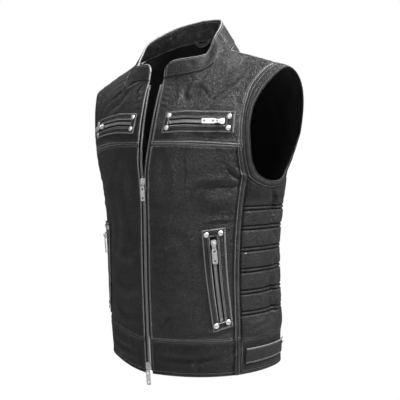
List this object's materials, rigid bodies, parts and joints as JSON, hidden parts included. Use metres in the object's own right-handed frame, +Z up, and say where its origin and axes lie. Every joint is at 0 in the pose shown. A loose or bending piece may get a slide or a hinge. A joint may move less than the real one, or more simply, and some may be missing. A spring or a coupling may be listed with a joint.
{
  "type": "leather vest",
  "caption": "Sleeveless zip-front leather vest in worn form, with a stand collar, riveted zip pocket patches, corded side panels and a strapped hem band.",
  "frame": {"origin": "between the two neck points of the shoulders, where a wearer's shoulders or a hanger hold the vest", "axes": "+Z up; the front faces -Y; the wearer's left is +X"},
  "size_m": [0.462, 0.2802, 0.7006],
  "materials": {
    "leather": "worn charcoal-black leather, semi-matt",
    "binding": "black leather binding, rubbed at its edges",
    "nickel": "bright nickel-plated metal",
    "zip": "black woven zip tape with grey metal teeth"
  },
  "bodies": {
    "vest": {"armhole_band_left": "binding", "armhole_band_right": "binding", "back": "leather", "chest_pocket_left": "leather", "chest_pocket_left_rivet_1": "nickel", "chest_pocket_left_rivet_2": "nickel", "chest_pocket_left_rivet_3": "nickel", "chest_pocket_left_rivet_4": "nickel", "chest_pocket_left_slider": "nickel", "chest_pocket_left_zip": "zip", "chest_pocket_right": "leather", "chest_pocket_right_rivet_1": "nickel", "chest_pocket_right_rivet_2": "nickel", "chest_pocket_right_rivet_3": "nickel", "chest_pocket_right_rivet_4": "nickel", "chest_pocket_right_slider": "nickel", "chest_pocket_right_zip": "zip", "collar": "leather", "front_left": "leather", "front_right": "leather", "hanger_loop": "binding", "hem_back": "leather", "hem_front_left": "leather", "hem_front_right": "leather", "hem_side_left": "leather", "hem_side_right": "leather", "lower_pocket_left": "leather", "lower_pocket_left_rivet_1": "nickel", "lower_pocket_left_rivet_2": "nickel", "lower_pocket_left_rivet_3": "nickel", "lower_pocket_left_rivet_4": "nickel", "lower_pocket_left_slider": "nickel", "lower_pocket_left_zip": "zip", "lower_pocket_right": "leather", "lower_pocket_right_rivet_1": "nickel", "lower_pocket_right_rivet_2": "nickel", "lower_pocket_right_rivet_3": "nickel", "lower_pocket_right_rivet_4": "nickel", "lower_pocket_right_slider": "nickel", "lower_pocket_right_zip": "zip", "lower_zip_slider": "nickel", "main_zip_slider": "nickel", "side_left": "leather", "side_right": "leather", "side_strap_left": "binding", "side_strap_right": "binding", "strap_snap_left": "nickel", "strap_snap_right": "nickel", "yoke_left": "leather", "yoke_right": "leather", "zip_tape_left": "zip", "zip_tape_right": "zip"},
    "chest_pocket_left_tab": {"chest_pocket_left_tab": "nickel"},
    "chest_pocket_right_tab": {"chest_pocket_right_tab": "nickel"},
    "lower_pocket_left_tab": {"lower_pocket_left_tab": "nickel"},
    "lower_pocket_right_tab": {"lower_pocket_right_tab": "nickel"},
    "lower_zip_tab": {"lower_zip_tab": "nickel"},
    "main_zip_tab": {"main_zip_tab": "nickel"}
  },
  "joints": [
    {"name": "chest_pocket_left_pull", "type": "hinge", "parent": "vest", "child": "chest_pocket_left_tab", "pos_m": [0.14853, -0.10778, -0.14494], "axis": [-0.0067, 0.2068, 0.9784], "range_deg": [0, 110]},
    {"name": "chest_pocket_right_pull", "type": "hinge", "parent": "vest", "child": "chest_pocket_right_tab", "pos_m": [-0.13693, -0.11243, -0.1347], "axis": [0.0262, 0.2353, 0.9716], "range_deg": [0, 110]},
    {"name": "lower_pocket_left_pull", "type": "hinge", "parent": "vest", "child": "lower_pocket_left_tab", "pos_m": [0.13151, -0.11623, -0.36123], "axis": [-0.7718, -0.6339, -0.0504], "range_deg": [0, 110]},
    {"name": "lower_pocket_right_pull", "type": "hinge", "parent": "vest", "child": "lower_pocket_right_tab", "pos_m": [-0.13151, -0.11623, -0.34849], "axis": [-0.7718, 0.6337, 0.0524], "range_deg": [0, 110]},
    {"name": "lower_zip_pull", "type": "hinge", "parent": "vest", "child": "lower_zip_tab", "pos_m": [0, -0.1522, -0.58509], "axis": [-1, 0, 0], "range_deg": [0, 110]},
    {"name": "main_zip_pull", "type": "hinge", "parent": "vest", "child": "main_zip_tab", "pos_m": [0, -0.1517, -0.247], "axis": [-1, 0, 0], "range_deg": [0, 110]}
  ]
}
